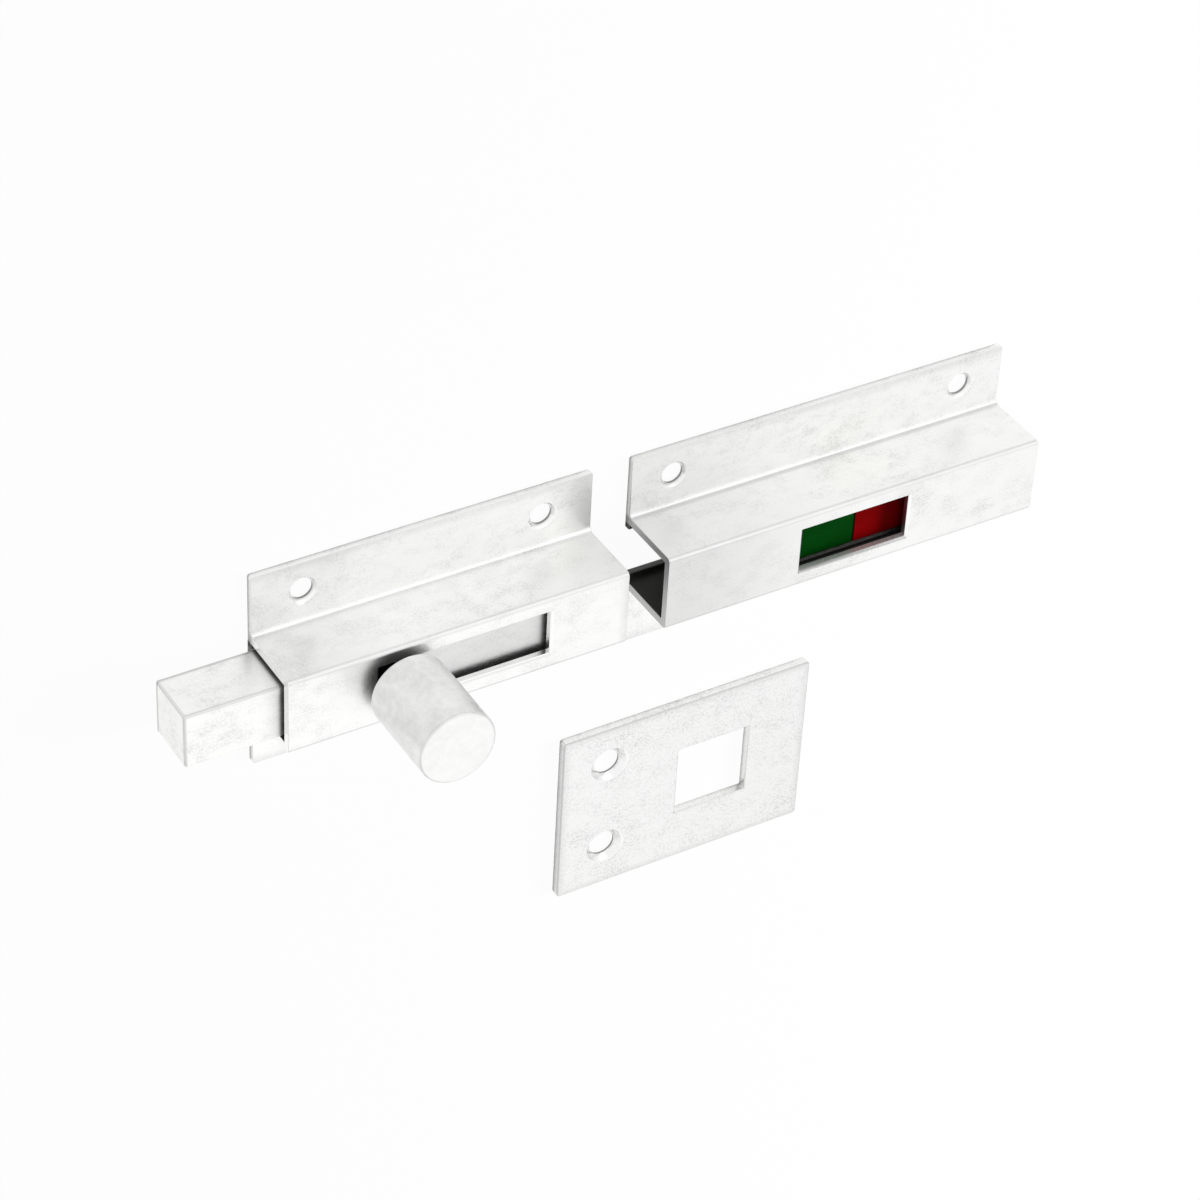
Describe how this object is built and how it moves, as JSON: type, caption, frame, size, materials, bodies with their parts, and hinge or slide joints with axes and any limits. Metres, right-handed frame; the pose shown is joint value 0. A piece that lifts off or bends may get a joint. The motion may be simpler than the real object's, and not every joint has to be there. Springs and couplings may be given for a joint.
{
  "type": "toilet indicator bolt",
  "caption": "Satin aluminium toilet indicator bolt: a square slide bolt with a round knob in a flanged casing, a matching casing whose window shows a green or red flag, and a flat keep plate.",
  "frame": {"origin": "middle of the bolt casing's screw holes, on the plane of the casings' backs, which is the door face", "axes": "+X along the bolt from its nose to its tail, +Y across the door face towards the upper flange, +Z out of the door face towards the knob"},
  "size_m": [0.1939, 0.111, 0.0395],
  "materials": {
    "casing_aluminium": "satin anodised",
    "bar_aluminium": "satin anodised",
    "knob_aluminium": "turned, satin anodised",
    "slide_aluminium": "plain mill",
    "keep_aluminium": "satin anodised, fine grain",
    "spring_steel": "plain",
    "screw_steel": "zinc plated",
    "green_plastic": "gloss",
    "red_plastic": "gloss"
  },
  "bodies": {
    "casings": {"bolt_casing": "casing_aluminium", "indicator_casing": "casing_aluminium", "stop_pin": "screw_steel", "keep_plate": "keep_aluminium"},
    "bolt": {"bolt_bar": "bar_aluminium", "bolt_spring": "spring_steel", "bolt_knob": "knob_aluminium", "knob_screw": "screw_steel"},
    "flag": {"flag_slide": "slide_aluminium", "green_flag": "green_plastic", "red_flag": "red_plastic"}
  },
  "joints": [
    {"name": "bolt_slide", "type": "slide", "parent": "casings", "child": "bolt", "axis": [1, 0, 0], "range_m": [0, 0.0277]},
    {"name": "flag_travel", "type": "slide", "parent": "casings", "child": "flag", "axis": [1, 0, 0], "range_m": [-0.01585, 0.01185]}
  ]
}
